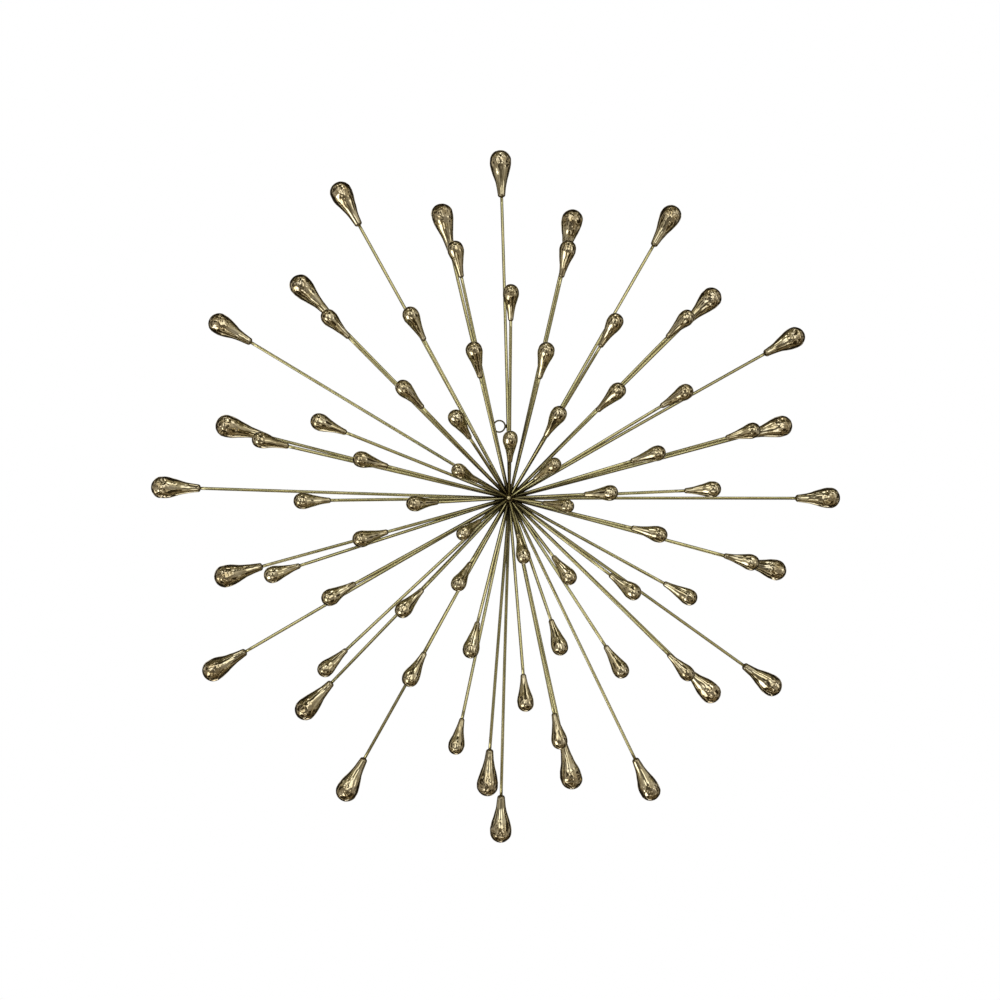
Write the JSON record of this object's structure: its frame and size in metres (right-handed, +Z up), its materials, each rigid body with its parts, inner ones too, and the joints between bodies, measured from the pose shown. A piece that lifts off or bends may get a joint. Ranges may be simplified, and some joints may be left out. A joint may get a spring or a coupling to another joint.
{
  "type": "sunburst wall sculpture",
  "caption": "Sunburst wall piece: straight brass rods in stepped tiers radiate from a small brazed hub, each ending in a polished teardrop; hangs on a small ring behind the rods.",
  "frame": {"origin": "the middle of the flat back face of the hub's back plate, on the hub axis", "axes": "+X to the viewer's right, +Z up, +Y back towards the wall; the front faces -Y"},
  "size_m": [0.7222, 0.1151, 0.7213],
  "materials": {
    "polished_bronze": "polished antique bronze drops on satin brass rods",
    "hub_brass": "satin brass, brazed",
    "ring_brass": "dull dark brass wire"
  },
  "bodies": {
    "root": {"cluster_FG": "polished_bronze", "hanging_ring": "ring_brass", "hub_spindle": "hub_brass", "pair_BC_015": "polished_bronze", "pair_BC_045": "polished_bronze", "pair_BC_075": "polished_bronze", "pair_BC_105": "polished_bronze", "pair_BC_135": "polished_bronze", "pair_BC_165": "polished_bronze", "pair_BC_195": "polished_bronze", "pair_BC_225": "polished_bronze", "pair_BC_255": "polished_bronze", "pair_BC_285": "polished_bronze", "pair_BC_315": "polished_bronze", "pair_BC_345": "polished_bronze", "ray_A_000": "polished_bronze", "ray_A_030": "polished_bronze", "ray_A_060": "polished_bronze", "ray_A_090": "polished_bronze", "ray_A_120": "polished_bronze", "ray_A_150": "polished_bronze", "ray_A_180": "polished_bronze", "ray_A_210": "polished_bronze", "ray_A_240": "polished_bronze", "ray_A_270": "polished_bronze", "ray_A_300": "polished_bronze", "ray_A_330": "polished_bronze", "ray_D_000": "polished_bronze", "ray_D_030": "polished_bronze", "ray_D_060": "polished_bronze", "ray_D_090": "polished_bronze", "ray_D_120": "polished_bronze", "ray_D_150": "polished_bronze", "ray_D_180": "polished_bronze", "ray_D_210": "polished_bronze", "ray_D_240": "polished_bronze", "ray_D_270": "polished_bronze", "ray_D_300": "polished_bronze", "ray_D_330": "polished_bronze", "ray_E_015": "polished_bronze", "ray_E_045": "polished_bronze", "ray_E_075": "polished_bronze", "ray_E_105": "polished_bronze", "ray_E_135": "polished_bronze", "ray_E_165": "polished_bronze", "ray_E_195": "polished_bronze", "ray_E_225": "polished_bronze", "ray_E_255": "polished_bronze", "ray_E_285": "polished_bronze", "ray_E_315": "polished_bronze", "ray_E_345": "polished_bronze"}
  },
  "joints": []
}
